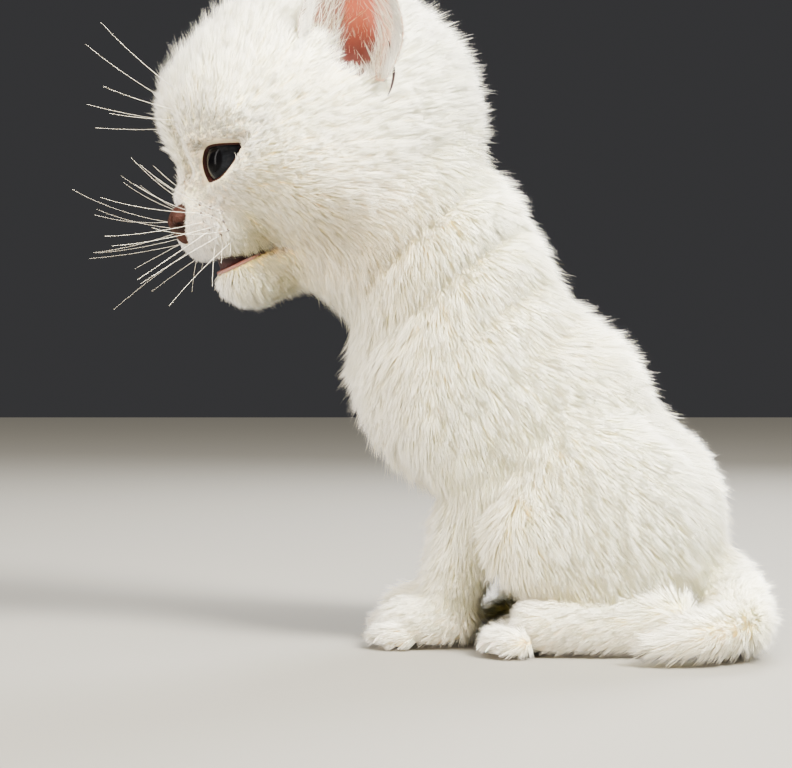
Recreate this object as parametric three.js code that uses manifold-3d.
// A munchkin kitten of four to five weeks, life size, sitting on its haunches with short forelegs
// straight under the chest, the tail laid round its left side and the head held level, turned a little
// to its left.
// Millimetres, +Z up, the floor at Z = 0. The kitten faces -X, and its left side is -Y.
// The surfaces are the outside of the coat, as a hand laid on the fur would feel it.

import * as THREE from "three";
import { mergeVertices } from "three/addons/utils/BufferGeometryUtils.js";
import Module from "manifold-3d";

const wasm = await Module();
wasm.setup();

// Driving dimensions
const GAP = 0.3; // between touching pieces
const SIDES = { left: -1, right: 1 }; // sign of Y

const HEAD_PLACE = new THREE.Vector3(-17, 0, 110); // middle of the skull above the floor
const HEAD_YAW = THREE.MathUtils.degToRad(15);
const BLEND_FACE = 6; // how softly the forms of the face run together
const BLEND_BODY = 9;
const BLEND_LIMB = 4;
const BLEND_TOE = 1.6;

// Forms of the head, in its own frame: a middle and three radii
const CRANIUM = { middle: [3, 0, 3], radii: [33.5, 30, 30.5] };
const BROW = { middle: [-15.5, 0, 3], radii: [18.5, 19, 15] };
const CHEEK = { middle: [1, 16.5, -9], radii: [18.5, 13.5, 15.5] };
const THROAT = { middle: [6, 0, -17], radii: [21, 19, 14] };
const MUZZLE = { middle: [-17.8, 0, -18.5], radii: [11, 11, 9.2] };
const BRIDGE = { from: [-22.6, 0, -8], to: [-25.2, 0, -15], radius: [5.2, 4.6] };
const PAD = { middle: [-22.6, 5.8, -21], radii: [7.6, 6.6, 6.4] };
const CHIN = { middle: [-15, 0, -30.6], radii: [7.2, 8.2, 6] };
const JAW_BONE = { from: [-13.5, 0, -30], to: [3, 0, -25], radius: [6, 9.5] };
const ORBIT = { middle: [-15.5, 11, -7.5], radii: [8.1, 8.5, 8.3] };
const BROW_RIDGE = { middle: [-19.5, 12, 1.5], radii: [6, 8, 4] };
const EAR_BASE = { middle: [8, 20, 17], radii: [10, 8.5, 12] };

// Eyes
const EYE = { middle: [-19.1, 10.1, -7.7], radius: 6.8 };
const GAZE = THREE.MathUtils.degToRad(27); // outwards from straight ahead
const LID_OPENING = {
  width: 11.6,
  height: 8.4,
  depth: 9,
  outward: 1.6,
  lower: 0.3,
  slant: THREE.MathUtils.degToRad(16),
};

// Nose leather and nostrils
const NOSE = { middle: [-28.4, 0, -18.6], radii: [3.6, 4.6, 3.4], taper: 0.5 };
const NOSTRIL = { middle: [-31.2, 2.1, -19.1], radii: [1.7, 1.1, 0.9] };

// Mouth: a wedge that opens forwards from its corner
const MOUTH = { corner: [-7, -24.2], upper: [-36, -30.5], lower: [-36, -37.5], halfWidth: 20 };
const JAW = { bottom: -46, reach: 9, margin: 10 };

// Ears
const EAR = {
  root: [0, 27.5, 8],
  tip: [-0.5, 34.5, 36],
  halfWidth: 12.5,
  thickness: 1.6,
  cup: 6,
  rows: 9,
  columns: 8,
  gather: 0.62,
  widest: 0.42,
  topmost: 0.985,
  roundness: 2.4,
  fullness: 0.8,
  facing: THREE.MathUtils.degToRad(56), // outwards from straight ahead
};

const EAR_HOLLOW = { middle: [0.5, 29.5, 15.5], radii: [8, 8, 8.5] };

// Neck and trunk, standing on the floor's frame
const NECK = { middle: [6, 0, 86], radii: [26, 23, 21] };
const CHEST = { middle: [14, 0, 62], radii: [25.5, 25, 31] };
const WAIST = { middle: [33, 0, 44], radii: [25, 26, 28] };
const PELVIS = { middle: [48, 0, 27], radii: [24, 27, 24] };
const RUMP = { middle: [59, 0, 12.4], radii: [16, 19, 13] };

// Forelegs
const SHOULDER = { middle: [14, 17, 50], radii: [14, 9.5, 19] };
const ELBOW = [19, 14, 34];
const WRIST = [12, 12, 12];
const FOREARM_RADII = [9.6, 7.2];
const FOREPAW = { middle: [7.5, 12, 5.8], radii: [10, 7.7, 6.2] };

// Hind legs
const THIGH = { middle: [42, 22, 27], radii: [21, 13, 23] };
const KNEE = { middle: [27, 25, 24], radii: [10, 9, 11] };
const HOCK = [55, 26, 6.6];
const INSTEP = [30, 26.5, 6];
const FOOT_RADII = [7, 6.6];

// Toes: their spread across the paw and how far the middle ones lead
const TOE = {
  radii: [4.5, 3.1, 3.4],
  spread: [-5.1, -1.8, 1.8, 5.1],
  lead: [1.6, 0, 0, 1.6],
  height: 3,
};
const FOREPAW_TOES_X = -0.3;
const HINDPAW_TOES_X = 22.5;
const CLAW = { length: 3, radius: 0.7, height: 2.4, droop: 0.45, sides: 5 };

// Tail, laid on the floor round the left side
const TAIL_PATH = [
  [60, 2, 17],
  [67.5, -4, 12.8],
  [70, -14, 9.4],
  [70, -24.5, 7.8],
  [68.3, -35, 6.8],
  [60.3, -41.8, 5.8],
  [51, -44, 4],
];
const TAIL_RADII = [10, 9.4, 8.8, 8.1, 7.3, 6.3, 4.2];
const TAIL = { rings: 20, sides: 14, cuts: [0, 0.4, 0.7, 1], roundTip: 0.7 };

// Whiskers: three rows on each pad
const PAD_CUT = { middle: [-23.6, 7.4, -21.6], radii: [9, 7.2, 6.8] };
const WHISKER = {
  rows: 3,
  perRow: 3,
  rowHeight: 2.4,
  pitch: 2.4,
  root: [-26, 9.4, -21.4],
  bulge: 1.2,
  length: 30,
  radius: 0.32,
  thinning: 0.75,
  spread: THREE.MathUtils.degToRad(40), // outwards from straight ahead
  fan: 0.7,
  shorter: 0.3,
  sweep: 4,
  sag: 3,
};

// Meshing: the step that feels the slope of a form, and the size of a box that stands for half of space
const SLOPE_STEP = 0.02;
const LEAST_SLOPE = 0.2;
const FARTHEST_MOVE = 1;
const FAR = 400;
const BALL_SIDES = [20, 14];
const CUTTER_SIDES = [14, 10];
const NOSTRIL_SIDES = [8, 6];

// Grid lines of each surface: each stop is a place and the step that follows it
const BODY_GRID = [[[-36, 6.2], [84]], [[-49.5, 6.2], [49.5]], [[-6, 6.2], [126]]];
const HEAD_GRID = [
  [[-56, 3], [-35, 6], [32]],
  [[-44, 6], [-17, 3], [20, 6], [44]],
  [[52, 6], [78, 3], [105, 6], [154]],
];
const FORELEG_GRID = { x: [[-12, 2.2], [4, 4.4], [48]], y: [-3, 40, 2.7], z: [[-3, 2.5], [8, 4.6], [74]] };
const THIGH_GRID = { x: [[4, 5], [80]], y: [4, 50, 5], z: [[-4, 5], [66]] };
const HINDFOOT_GRID = { x: [[8, 2.2], [26, 5], [72]], y: [14, 42, 2.6], z: [[-3, 2.7], [21]] };

// Fields: how far a point is outside a form, in millimetres, below 0 inside it

const vector = (list) => new THREE.Vector3(...list);

function mirrored(list, sign) {
  return [list[0], sign * list[1], list[2]];
}

function ellipsoid({ middle, radii }, sign = 1) {
  const [cx, cy, cz] = mirrored(middle, sign);
  const [rx, ry, rz] = radii;
  return (x, y, z) => {
    const u = (x - cx) / rx;
    const v = (y - cy) / ry;
    const w = (z - cz) / rz;
    const near = Math.hypot(u, v, w);
    const slope = Math.hypot(u / rx, v / ry, w / rz);
    return slope < 1e-9 ? -Math.min(rx, ry, rz) : (near * (near - 1)) / slope;
  };
}

// A limb that tapers from one round end to the other
function taper(from, to, radii) {
  const [ax, ay, az] = from;
  const [dx, dy, dz] = [to[0] - ax, to[1] - ay, to[2] - az];
  const length2 = dx * dx + dy * dy + dz * dz;
  return (x, y, z) => {
    const along = ((x - ax) * dx + (y - ay) * dy + (z - az) * dz) / length2;
    const t = Math.min(1, Math.max(0, along));
    const radius = radii[0] + (radii[1] - radii[0]) * t;
    return Math.hypot(x - ax - t * dx, y - ay - t * dy, z - az - t * dz) - radius;
  };
}

function soften(a, b, k) {
  const h = Math.max(k - Math.abs(a - b), 0) / k;
  return Math.min(a, b) - (h * h * k) / 4;
}

function joined(forms, k) {
  return (x, y, z) => {
    let value = forms[0](x, y, z);
    for (let i = 1; i < forms.length; i++) value = soften(value, forms[i](x, y, z), k);
    return value;
  };
}

const bothSides = (make) => Object.values(SIDES).flatMap(make);

// The head's forms

const headForms = joined(
  [
    ellipsoid(CRANIUM),
    ellipsoid(BROW),
    ellipsoid(THROAT),
    ellipsoid(MUZZLE),
    taper(BRIDGE.from, BRIDGE.to, BRIDGE.radius),
    ellipsoid(CHIN),
    taper(JAW_BONE.from, JAW_BONE.to, JAW_BONE.radius),
    ...bothSides((s) => [CHEEK, PAD, BROW_RIDGE, ORBIT, EAR_BASE].map((form) => ellipsoid(form, s))),
  ],
  BLEND_FACE,
);

const headMatrix = new THREE.Matrix4()
  .makeRotationZ(HEAD_YAW)
  .setPosition(HEAD_PLACE);
const COS = Math.cos(HEAD_YAW);
const SIN = Math.sin(HEAD_YAW);

function headField(x, y, z) {
  const dx = x - HEAD_PLACE.x;
  const dy = y - HEAD_PLACE.y;
  return headForms(dx * COS + dy * SIN, -dx * SIN + dy * COS, z - HEAD_PLACE.z);
}

// The trunk and legs

function toes(pawX, pawY, sign) {
  return TOE.spread.map((across, i) =>
    ellipsoid({
      middle: [pawX + TOE.lead[i], sign * pawY + across, TOE.height],
      radii: TOE.radii,
    }),
  );
}

function foreleg(sign) {
  const limb = joined(
    [
      taper(mirrored(ELBOW, sign), mirrored(WRIST, sign), FOREARM_RADII),
      ellipsoid(FOREPAW, sign),
    ],
    BLEND_LIMB,
  );
  return joined([limb, ...toes(FOREPAW_TOES_X, FOREPAW.middle[1], sign)], BLEND_TOE);
}

function hindFoot(sign) {
  const foot = taper(mirrored(HOCK, sign), mirrored(INSTEP, sign), FOOT_RADII);
  return joined([foot, ...toes(HINDPAW_TOES_X, INSTEP[1], sign)], BLEND_TOE);
}

const trunk = joined(
  [
    ellipsoid(NECK),
    ellipsoid(CHEST),
    ellipsoid(WAIST),
    ellipsoid(PELVIS),
    ellipsoid(RUMP),
    ...bothSides((s) => [ellipsoid(SHOULDER, s), ellipsoid(THIGH, s), ellipsoid(KNEE, s)]),
  ],
  BLEND_BODY,
);
const legs = bothSides((s) => [foreleg(s), hindFoot(s)]);
const whole = joined([joined([trunk, headField], BLEND_BODY), ...legs], BLEND_LIMB);

// From a field to a closed mesh: one corner in each cell that the surface crosses

const CUBE = [0, 1, 2, 3, 4, 5, 6, 7].map((n) => [n & 1, (n >> 1) & 1, (n >> 2) & 1]);

function gridLines(stops) {
  const lines = [stops[0][0]];
  stops.slice(0, -1).forEach(([start, step], i) => {
    const end = stops[i + 1][0];
    const count = Math.max(1, Math.round((end - start) / step));
    for (let n = 1; n <= count; n++) lines.push(start + ((end - start) * n) / count);
  });
  return lines;
}

function surfaceOf(field, xStops, yStops, zStops) {
  const axes = [xStops, yStops, zStops].map(gridLines);
  const [nx, ny, nz] = axes.map((lines) => lines.length);
  const at = (i, j, k) => (k * ny + j) * nx + i;
  const value = new Float64Array(nx * ny * nz);
  for (let k = 0; k < nz; k++)
    for (let j = 0; j < ny; j++)
      for (let i = 0; i < nx; i++) {
        const edge = !i || !j || !k || i === nx - 1 || j === ny - 1 || k === nz - 1;
        const v = field(axes[0][i], axes[1][j], axes[2][k]);
        value[at(i, j, k)] = edge ? Math.max(v, 0.5) : v;
      }

  // A cell that two separate parts of the body reach gets one corner for each of them
  const partOf = (inside, n) => {
    const reached = new Set([n]);
    for (let grown = true; grown; ) {
      grown = false;
      for (const m of reached)
        for (const step of [1, 2, 4])
          if (inside[m ^ step] && !reached.has(m ^ step)) {
            reached.add(m ^ step);
            grown = true;
          }
    }
    return reached;
  };
  // A corner moves along the slope of the field until it lies on the surface
  const ontoSurface = (p) => {
    for (let turn = 0; turn < 2; turn++) {
      const here = field(...p);
      const beside = (d) => field(...p.map((c, e) => c + (d === e ? SLOPE_STEP : 0)));
      const slope = p.map((_, d) => (beside(d) - here) / SLOPE_STEP);
      const steep = slope.reduce((sum, g) => sum + g * g, 0);
      if (steep < LEAST_SLOPE || Math.abs(here) > FARTHEST_MOVE) return p;
      p = p.map((c, d) => c - (here * slope[d]) / steep);
    }
    return p;
  };
  const corners = [];
  const cornerIndex = new Map();
  const cornerOf = (cell, n) => {
    const near = CUBE.map((a) => value[at(cell[0] + a[0], cell[1] + a[1], cell[2] + a[2])]);
    const part = partOf(near.map((v) => v < 0), n);
    const key = at(...cell) * 8 + Math.min(...part);
    if (cornerIndex.has(key)) return cornerIndex.get(key);
    const sum = [0, 0, 0];
    let crossings = 0;
    for (const m of part)
      for (let axis = 0; axis < 3; axis++) {
        const other = m ^ (1 << axis);
        if (near[other] < 0) continue;
        const t = near[m] / (near[m] - near[other]);
        for (let d = 0; d < 3; d++) {
          const from = axes[d][cell[d] + CUBE[m][d]];
          const to = axes[d][cell[d] + CUBE[other][d]];
          sum[d] += from + (to - from) * t;
        }
        crossings++;
      }
    const index = corners.length / 3;
    corners.push(...ontoSurface(sum.map((s) => s / crossings)));
    cornerIndex.set(key, index);
    return index;
  };

  const triangles = [];
  const place = (n) => corners.slice(n * 3, n * 3 + 3);
  const span = (m, n) => Math.hypot(...place(m).map((c, d) => c - place(n)[d]));
  const addSquare = ([p, q, r, s], outward) => {
    const faces = span(p, r) < span(q, s) ? [[p, q, r], [p, r, s]] : [[p, q, s], [q, r, s]];
    for (const f of faces) triangles.push(...(outward ? f : f.reverse()));
  };
  // The four cells round a grid edge, in turn, seen against the edge's own direction
  const ROUND = [[-1, -1], [0, -1], [0, 0], [-1, 0]];
  const crossEdge = (node, axis) => {
    const next = node.slice();
    next[axis]++;
    const starts = value[at(...node)] < 0;
    if (starts === value[at(...next)] < 0) return;
    const [u, v] = [(axis + 1) % 3, (axis + 2) % 3];
    const square = ROUND.map(([du, dv]) => {
      const cell = node.slice();
      cell[u] += du;
      cell[v] += dv;
      const n = (du ? 1 << u : 0) + (dv ? 1 << v : 0) + (starts ? 0 : 1 << axis);
      return cornerOf(cell, n);
    });
    addSquare(square, starts);
  };
  const counts = [nx, ny, nz];
  for (let k = 0; k < nz; k++)
    for (let j = 0; j < ny; j++)
      for (let i = 0; i < nx; i++)
        for (let axis = 0; axis < 3; axis++) {
          const node = [i, j, k];
          const inner = [1, 2].every((d) => node[(axis + d) % 3] > 0);
          if (inner && node[axis] < counts[axis] - 1) crossEdge(node, axis);
        }
  return new wasm.Manifold(
    new wasm.Mesh({
      numProp: 3,
      vertProperties: new Float32Array(corners),
      triVerts: new Uint32Array(triangles),
    }),
  );
}

// From geometry to solid and back

function solidOf(geometry, matrix = new THREE.Matrix4()) {
  const bare = geometry.clone().applyMatrix4(matrix);
  for (const name of Object.keys(bare.attributes)) if (name !== "position") bare.deleteAttribute(name);
  const merged = mergeVertices(bare, 1e-4);
  return new wasm.Manifold(
    new wasm.Mesh({
      numProp: 3,
      vertProperties: new Float32Array(merged.attributes.position.array),
      triVerts: new Uint32Array(merged.index.array),
    }),
  );
}

function geometryOf(solid) {
  const mesh = solid.getMesh();
  const place = new Float32Array(mesh.numVert * 3);
  for (let n = 0; n < mesh.numVert; n++)
    place.set(mesh.vertProperties.subarray(n * mesh.numProp, n * mesh.numProp + 3), n * 3);
  const geometry = new THREE.BufferGeometry()
    .setAttribute("position", new THREE.BufferAttribute(place, 3))
    .setIndex(new THREE.BufferAttribute(mesh.triVerts, 1));
  geometry.computeVertexNormals();
  return geometry;
}

function largest(solid) {
  return solid.decompose().reduce((best, s) => (s.volume() > best.volume() ? s : best));
}

function ball({ middle, radii }, sign = 1, grow = 0, matrix = new THREE.Matrix4(), sides = BALL_SIDES) {
  const place = new THREE.Matrix4().compose(
    vector(mirrored(middle, sign)),
    new THREE.Quaternion(),
    vector(radii.map((r) => r + grow)),
  );
  return solidOf(new THREE.SphereGeometry(1, ...sides), place.premultiply(matrix));
}

// The half of space on the far side of a plane, as a big box: keep is the direction of the kept side
function halfSpace(place, keep, inset) {
  const turn = new THREE.Quaternion().setFromUnitVectors(new THREE.Vector3(0, 0, 1), keep);
  const middle = place.clone().addScaledVector(keep, FAR / 2 + inset);
  const matrix = new THREE.Matrix4().compose(middle, turn, new THREE.Vector3(1, 1, 1));
  return solidOf(new THREE.BoxGeometry(FAR, FAR, FAR), matrix);
}

// Cuts that part the body

const NECK_CUT = { place: new THREE.Vector3(12, 0, 95), keep: new THREE.Vector3(-0.817, 0, 0.577) };
const CHEST_CUT = { place: new THREE.Vector3(16, 0, 76), keep: new THREE.Vector3(-0.4, 0, 0.916) };
const FORELEG_CUT = { low: [9, 13, -10], high: [17, 22, 48], radius: 13.2 };
const FOREPAW_CUT = { low: [-12, 1.2, -4], high: [23.5, 26, 12.6] };
const THIGH_CUT = { middle: [40, 32, 28], radii: [27, 18.5, 29] };
const FOOT_CUT = { low: [8, 19.4, -4], high: [63.5, 40, 13.4] };

function forelegCut(sign, grow) {
  const low = vector(mirrored(FORELEG_CUT.low, sign));
  const high = vector(mirrored(FORELEG_CUT.high, sign));
  const axis = high.clone().sub(low);
  const capsule = new THREE.CapsuleGeometry(FORELEG_CUT.radius + grow, axis.length(), 4, 14);
  const turn = new THREE.Quaternion().setFromUnitVectors(new THREE.Vector3(0, 1, 0), axis.normalize());
  const middle = low.clone().add(high).multiplyScalar(0.5);
  return solidOf(capsule, new THREE.Matrix4().compose(middle, turn, new THREE.Vector3(1, 1, 1)));
}

const thighCut = (sign, grow) => ball(THIGH_CUT, sign, grow);

function boxCut(corners, sign, grow) {
  const low = vector(corners.low).subScalar(grow);
  const high = vector(corners.high).addScalar(grow);
  const size = high.clone().sub(low);
  const middle = low.clone().add(high).multiplyScalar(0.5);
  middle.y *= sign;
  return solidOf(
    new THREE.BoxGeometry(...size.toArray()),
    new THREE.Matrix4().makeTranslation(...middle.toArray()),
  );
}

const footCut = (sign, grow) => boxCut(FOOT_CUT, sign, grow);
const pawCut = (sign, grow) => boxCut(FOREPAW_CUT, sign, grow);
const legCuts = (sign) => [forelegCut, pawCut, thighCut, footCut].map((cut) => cut(sign, GAP));

const aboveFloor = halfSpace(new THREE.Vector3(), new THREE.Vector3(0, 0, 1), 0);

// The pieces

const COAT = { color: 0xf3f0e6, roughness: 0.9 };
const EAR_SKIN = { color: 0xe3b3a4, roughness: 0.7 };
const LIP_SKIN = { color: 0xe6d3c8, roughness: 0.8 };
const NOSE_LEATHER = { color: 0x8c5046, roughness: 0.45 };
const EYE_DARK = { color: 0x1b2026, roughness: 0.08 };

const kitten = new THREE.Group();

function addNode(name, solid, finish) {
  const mesh = new THREE.Mesh(
    geometryOf(largest(solid)),
    new THREE.MeshStandardMaterial({ ...finish, metalness: 0 }),
  );
  mesh.name = name;
  kitten.add(mesh);
}

// Neck and torso

const body = surfaceOf(whole, ...BODY_GRID);
const inFrontOfNeck = halfSpace(NECK_CUT.place, NECK_CUT.keep, GAP / 2);
const behindHead = halfSpace(NECK_CUT.place, NECK_CUT.keep.clone().negate(), GAP / 2);
const aboveChest = halfSpace(CHEST_CUT.place, CHEST_CUT.keep, GAP / 2);
const belowNeck = halfSpace(CHEST_CUT.place, CHEST_CUT.keep.clone().negate(), GAP / 2);

addNode("neck", body.intersect(behindHead).intersect(aboveChest), COAT);

let torso = body.intersect(belowNeck).intersect(aboveFloor);
for (const sign of Object.values(SIDES)) {
  torso = legCuts(sign).reduce((rest, cut) => rest.subtract(cut), torso);
}
addNode("torso", torso, COAT);

// Legs

function claws(pawX, pawY, sign) {
  return TOE.spread.map((across, i) => {
    const cone = new THREE.ConeGeometry(CLAW.radius, CLAW.length, CLAW.sides);
    const tip = new THREE.Vector3(-1, 0, -CLAW.droop).normalize();
    const turn = new THREE.Quaternion().setFromUnitVectors(new THREE.Vector3(0, 1, 0), tip);
    const place = new THREE.Vector3(pawX + TOE.lead[i] - TOE.radii[0], sign * pawY + across, CLAW.height);
    return solidOf(cone, new THREE.Matrix4().compose(place, turn, new THREE.Vector3(1, 1, 1)));
  });
}

const fused = (solid, pieces) => pieces.reduce((sum, piece) => sum.add(piece), solid);
const up = new THREE.Vector3(0, 0, 1);

function sideSurface({ x, y: [low, high, step], z }, sign) {
  const across = sign < 0 ? [[-high, step], [-low]] : [[low, step], [high]];
  return surfaceOf(whole, x, across, z);
}

for (const [side, sign] of Object.entries(SIDES)) {
  const foreSkin = sideSurface(FORELEG_GRID, sign)
    .intersect(belowNeck)
    .intersect(aboveFloor)
    .subtract(footCut(sign, GAP));
  const forelegSkin = foreSkin.intersect(forelegCut(sign, 0));
  addNode("foreleg_" + side, forelegSkin.subtract(thighCut(sign, GAP)).subtract(pawCut(sign, GAP)), COAT);
  const foreClaws = claws(FOREPAW_TOES_X, FOREPAW.middle[1], sign);
  addNode("forepaw_" + side, fused(largest(foreSkin.intersect(pawCut(sign, 0))), foreClaws), COAT);

  const thighSkin = sideSurface(THIGH_GRID, sign);
  const thigh = thighSkin.intersect(thighCut(sign, 0)).subtract(footCut(sign, GAP));
  addNode("thigh_" + side, thigh.intersect(aboveFloor), COAT);

  const footSkin = sideSurface(HINDFOOT_GRID, sign);
  const foot = footSkin.intersect(footCut(sign, 0)).intersect(aboveFloor);
  addNode("hindfoot_" + side, fused(largest(foot), claws(HINDPAW_TOES_X, INSTEP[1], sign)), COAT);
}

// A corner of a ring: a turn about its middle, in the plane of two directions

function spoke(middle, across, over, radius, turn) {
  return middle
    .clone()
    .addScaledVector(across, radius * Math.cos(turn))
    .addScaledVector(over, radius * Math.sin(turn));
}

// Tail: rings along its path, flat where it lies on the floor

function tailTube() {
  const path = new THREE.CatmullRomCurve3(TAIL_PATH.map(vector));
  const places = [];
  for (let n = 0; n <= TAIL.rings; n++) {
    const t = n / TAIL.rings;
    const middle = path.getPoint(t);
    const ahead = path.getTangent(t);
    const across = new THREE.Vector3().crossVectors(up, ahead).normalize();
    const over = new THREE.Vector3().crossVectors(ahead, across);
    const spot = t * (TAIL_RADII.length - 1);
    const low = Math.min(Math.floor(spot), TAIL_RADII.length - 2);
    const radius = THREE.MathUtils.lerp(TAIL_RADII[low], TAIL_RADII[low + 1], spot - low);
    for (let m = 0; m < TAIL.sides; m++) {
      const turn = (2 * Math.PI * m) / TAIL.sides;
      places.push(spoke(middle, across, over, radius, turn));
    }
  }
  const root = path.getPoint(0);
  const tip = path.getPoint(1).addScaledVector(path.getTangent(1), TAIL.roundTip * TAIL_RADII.at(-1));
  const faces = [];
  const at = (n, m) => n * TAIL.sides + (m % TAIL.sides);
  const rootAt = places.push(root) - 1;
  const tipAt = places.push(tip) - 1;
  for (let m = 0; m < TAIL.sides; m++) {
    for (let n = 0; n < TAIL.rings; n++) {
      faces.push(at(n, m), at(n, m + 1), at(n + 1, m + 1));
      faces.push(at(n, m), at(n + 1, m + 1), at(n + 1, m));
    }
    faces.push(rootAt, at(0, m + 1), at(0, m));
    faces.push(tipAt, at(TAIL.rings, m), at(TAIL.rings, m + 1));
  }
  const geometry = new THREE.BufferGeometry().setFromPoints(places).setIndex(faces);
  return { path, solid: solidOf(geometry) };
}

const grown = (x, y, z) => whole(x, y, z) - GAP;
const rumpClear = surfaceOf(grown, ...BODY_GRID);
const tail = tailTube();
const tailSkin = tail.solid.subtract(rumpClear).intersect(aboveFloor);
TAIL.cuts.slice(0, -1).forEach((start, n) => {
  const plane = (t, way) => {
    const keep = tail.path.getTangent(t).multiplyScalar(way);
    return halfSpace(tail.path.getPoint(t), keep, GAP / 2);
  };
  let length = largest(tailSkin);
  if (start > 0) length = length.intersect(plane(start, 1));
  if (TAIL.cuts[n + 1] < 1) length = length.intersect(plane(TAIL.cuts[n + 1], -1));
  addNode("tail_" + (n + 1), length, COAT);
});

// Head: the skull's coat with the eyes, nose, ears, lips and jaw set into it

function eyeFrame(sign) {
  const ahead = new THREE.Vector3(-Math.cos(GAZE), sign * Math.sin(GAZE), 0);
  const outer = new THREE.Vector3(Math.sin(GAZE), sign * Math.cos(GAZE), 0);
  return new THREE.Matrix4()
    .makeBasis(ahead, outer.multiplyScalar(-sign), new THREE.Vector3(0, 0, 1))
    .setPosition(vector(mirrored(EYE.middle, sign)));
}

function eyeball(sign, grow) {
  const sphere = new THREE.SphereGeometry(EYE.radius + grow, 14, 10);
  return solidOf(sphere, eyeFrame(sign).premultiply(headMatrix));
}

function lidOpening(sign) {
  const { width, height, depth, outward, lower, slant } = LID_OPENING;
  const lens = new THREE.SphereGeometry(1, 14, 8)
    .scale(depth, width / 2, height / 2)
    .rotateX(sign * slant)
    .translate(EYE.radius, -sign * outward, -lower);
  return solidOf(lens, eyeFrame(sign).premultiply(headMatrix));
}

function noseLeather(grow) {
  const geometry = new THREE.SphereGeometry(1, 12, 8);
  const place = geometry.attributes.position;
  for (let n = 0; n < place.count; n++) {
    const [x, y, z] = [place.getX(n), place.getY(n), place.getZ(n)];
    const narrowing = z < 0 ? 1 + NOSE.taper * z : 1;
    place.setXYZ(n, x, y * narrowing, z);
  }
  geometry.scale(...NOSE.radii.map((r) => r + grow)).translate(...NOSE.middle);
  return solidOf(geometry, headMatrix);
}

// A prism across the head from an outline in its side view
function sidePrism(outline, halfWidth) {
  const shape = new THREE.Shape(outline.map(([x, z]) => new THREE.Vector2(x, z)));
  const prism = new THREE.ExtrudeGeometry(shape, { depth: 2 * halfWidth, bevelEnabled: false });
  prism.translate(0, 0, -halfWidth).rotateX(Math.PI / 2);
  return solidOf(prism, headMatrix);
}

function jawOutline(grow) {
  const [cx, cz] = MOUTH.corner;
  return [
    [cx + grow, cz + grow],
    [MOUTH.lower[0], (MOUTH.upper[1] + MOUTH.lower[1]) / 2 + grow],
    [MOUTH.lower[0], JAW.bottom],
    [cx + JAW.reach + grow, JAW.bottom],
  ];
}

const gape = sidePrism([MOUTH.corner, MOUTH.lower, MOUTH.upper], MOUTH.halfWidth);
const jawBlock = (grow) => sidePrism(jawOutline(grow), MOUTH.halfWidth + JAW.margin);

let head = surfaceOf(whole, ...HEAD_GRID).intersect(inFrontOfNeck).intersect(aboveChest).subtract(gape);
const headClear = surfaceOf(grown, ...HEAD_GRID);
addNode("lower_jaw", head.intersect(jawBlock(0)), LIP_SKIN);
head = head.subtract(jawBlock(GAP));

const nostril = (sign) => ball(NOSTRIL, sign, 0, headMatrix, NOSTRIL_SIDES);
addNode("nose", noseLeather(0).subtract(nostril(1)).subtract(nostril(-1)), NOSE_LEATHER);
head = head.subtract(noseLeather(GAP));

function whisker(row, place, sign) {
  const back = place / (WHISKER.perRow - 1);
  const rise = row / (WHISKER.rows - 1) - 0.5;
  const root = new THREE.Vector3(
    WHISKER.root[0] + WHISKER.pitch * place,
    sign * (WHISKER.root[1] + WHISKER.bulge * back),
    WHISKER.root[2] + WHISKER.rowHeight * (row - 1),
  );
  const { spread, fan } = WHISKER;
  const out = new THREE.Vector3(-Math.cos(spread), sign * Math.sin(spread), rise * fan);
  const length = WHISKER.length * (1 - WHISKER.shorter * Math.abs(rise));
  const bend = new THREE.Vector3(WHISKER.sweep, 0, -WHISKER.sag);
  const rings = [0, 1, 2, 3].map((n) => {
    const t = n / 3;
    return {
      middle: root.clone().addScaledVector(out, length * t).addScaledVector(bend, t * t),
      radius: WHISKER.radius * (1 - WHISKER.thinning * t),
    };
  });
  const across = new THREE.Vector3().crossVectors(out, up).normalize();
  const over = new THREE.Vector3().crossVectors(across, out).normalize();
  const places = rings.flatMap(({ middle, radius }) =>
    [0, 1, 2].map((m) => spoke(middle, across, over, radius, (2 * Math.PI * m) / 3)),
  );
  const faces = [0, 1, 2, 9, 11, 10];
  for (let n = 0; n < 3; n++)
    for (let m = 0; m < 3; m++) {
      const [a, b] = [n * 3 + m, n * 3 + ((m + 1) % 3)];
      faces.push(a, b + 3, b, a, a + 3, b + 3);
    }
  return solidOf(new THREE.BufferGeometry().setFromPoints(places).setIndex(faces), headMatrix);
}

for (const [side, sign] of Object.entries(SIDES)) {
  const pad = head.intersect(ball(PAD_CUT, sign, 0, headMatrix, CUTTER_SIDES));
  const whiskers = [];
  for (let row = 0; row < WHISKER.rows; row++)
    for (let place = 0; place < WHISKER.perRow; place++) whiskers.push(whisker(row, place, sign));
  addNode("whisker_pad_" + side, fused(largest(pad), whiskers), COAT);
  head = head.subtract(ball(PAD_CUT, sign, GAP, headMatrix, CUTTER_SIDES));
}

for (const [side, sign] of Object.entries(SIDES)) {
  addNode("eye_" + side, eyeball(sign, 0), EYE_DARK);
  head = head.subtract(eyeball(sign, GAP)).subtract(lidOpening(sign));
}
for (const sign of Object.values(SIDES)) {
  head = head.subtract(ball(EAR_HOLLOW, sign, 0, headMatrix, CUTTER_SIDES));
}
addNode("head", head, COAT);

// Ears: a cupped sheet, rounded at the tip

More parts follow.
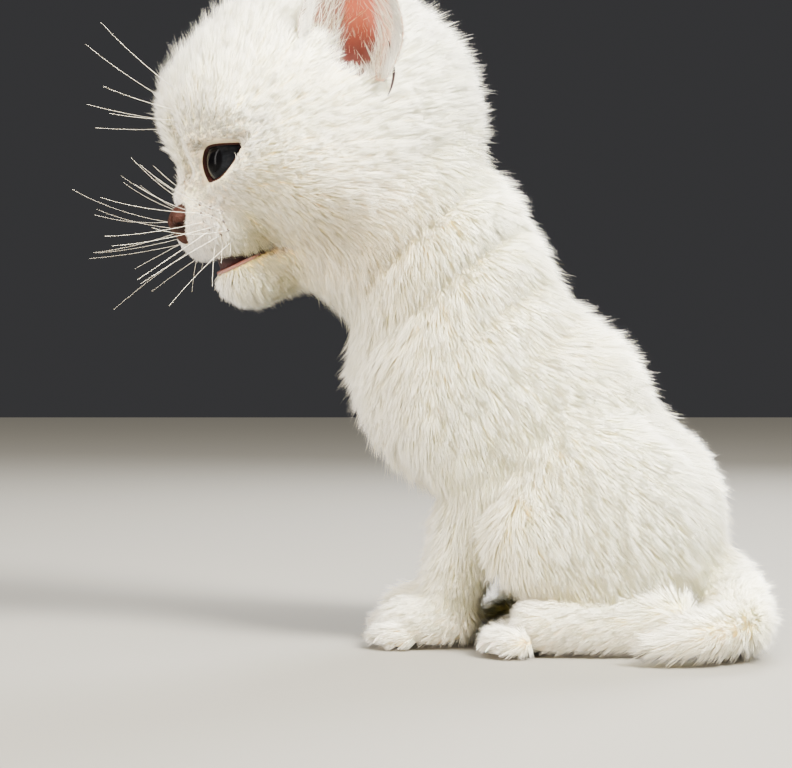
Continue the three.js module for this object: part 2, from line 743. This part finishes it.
function earSheet(sign) {
  const root = vector(mirrored(EAR.root, sign));
  const rise = vector(mirrored(EAR.tip, sign)).sub(root);
  const facing = new THREE.Vector3(-Math.cos(EAR.facing), sign * Math.sin(EAR.facing), 0);
  facing.addScaledVector(rise, -facing.dot(rise) / rise.lengthSq()).normalize();
  const across = new THREE.Vector3().crossVectors(rise, facing).normalize();
  const places = [];
  for (const face of [0, 1])
    for (let n = 0; n <= EAR.rows; n++)
      for (let m = 0; m <= EAR.columns; m++) {
        const t = n / EAR.rows;
        const s = (2 * m) / EAR.columns - 1;
        const gather = EAR.gather + (1 - EAR.gather) * Math.sin((Math.PI / 2) * Math.min(1, t / EAR.widest));
        const outline = gather * Math.pow(1 - Math.pow(t * EAR.topmost, EAR.roundness), EAR.fullness);
        const cup = EAR.cup * outline * (1 - s * s) + face * EAR.thickness;
        places.push(
          root.clone()
            .addScaledVector(rise, t)
            .addScaledVector(across, EAR.halfWidth * outline * s)
            .addScaledVector(facing, -cup),
        );
      }
  const row = EAR.columns + 1;
  const side = (EAR.rows + 1) * row;
  const faces = [];
  const square = (a, b, c, d) => faces.push(a, b, c, a, c, d);
  for (let n = 0; n < EAR.rows; n++)
    for (let m = 0; m < EAR.columns; m++) {
      const a = n * row + m;
      square(a, a + 1, a + row + 1, a + row);
      square(side + a, side + a + row, side + a + row + 1, side + a + 1);
    }
  for (let n = 0; n < EAR.rows; n++) {
    const [a, b] = [n * row, n * row + EAR.columns];
    square(a, a + row, side + a + row, side + a);
    square(b, side + b, side + b + row, b + row);
  }
  for (let m = 0; m < EAR.columns; m++) {
    const top = EAR.rows * row + m;
    square(m, side + m, side + m + 1, m + 1);
    square(top, top + 1, side + top + 1, side + top);
  }
  return solidOf(new THREE.BufferGeometry().setFromPoints(places).setIndex(faces), headMatrix);
}

for (const [side, sign] of Object.entries(SIDES)) {
  const round = headClear.subtract(ball(EAR_HOLLOW, sign, -GAP, headMatrix, CUTTER_SIDES));
  addNode("ear_" + side, earSheet(sign).subtract(round), EAR_SKIN);
}

// The frame: the middle of the kitten's outline on the floor

const box = new THREE.Box3().setFromObject(kitten);
const middle = box.getCenter(new THREE.Vector3());
kitten.position.set(-middle.x, -middle.y, 0);

export default kitten;
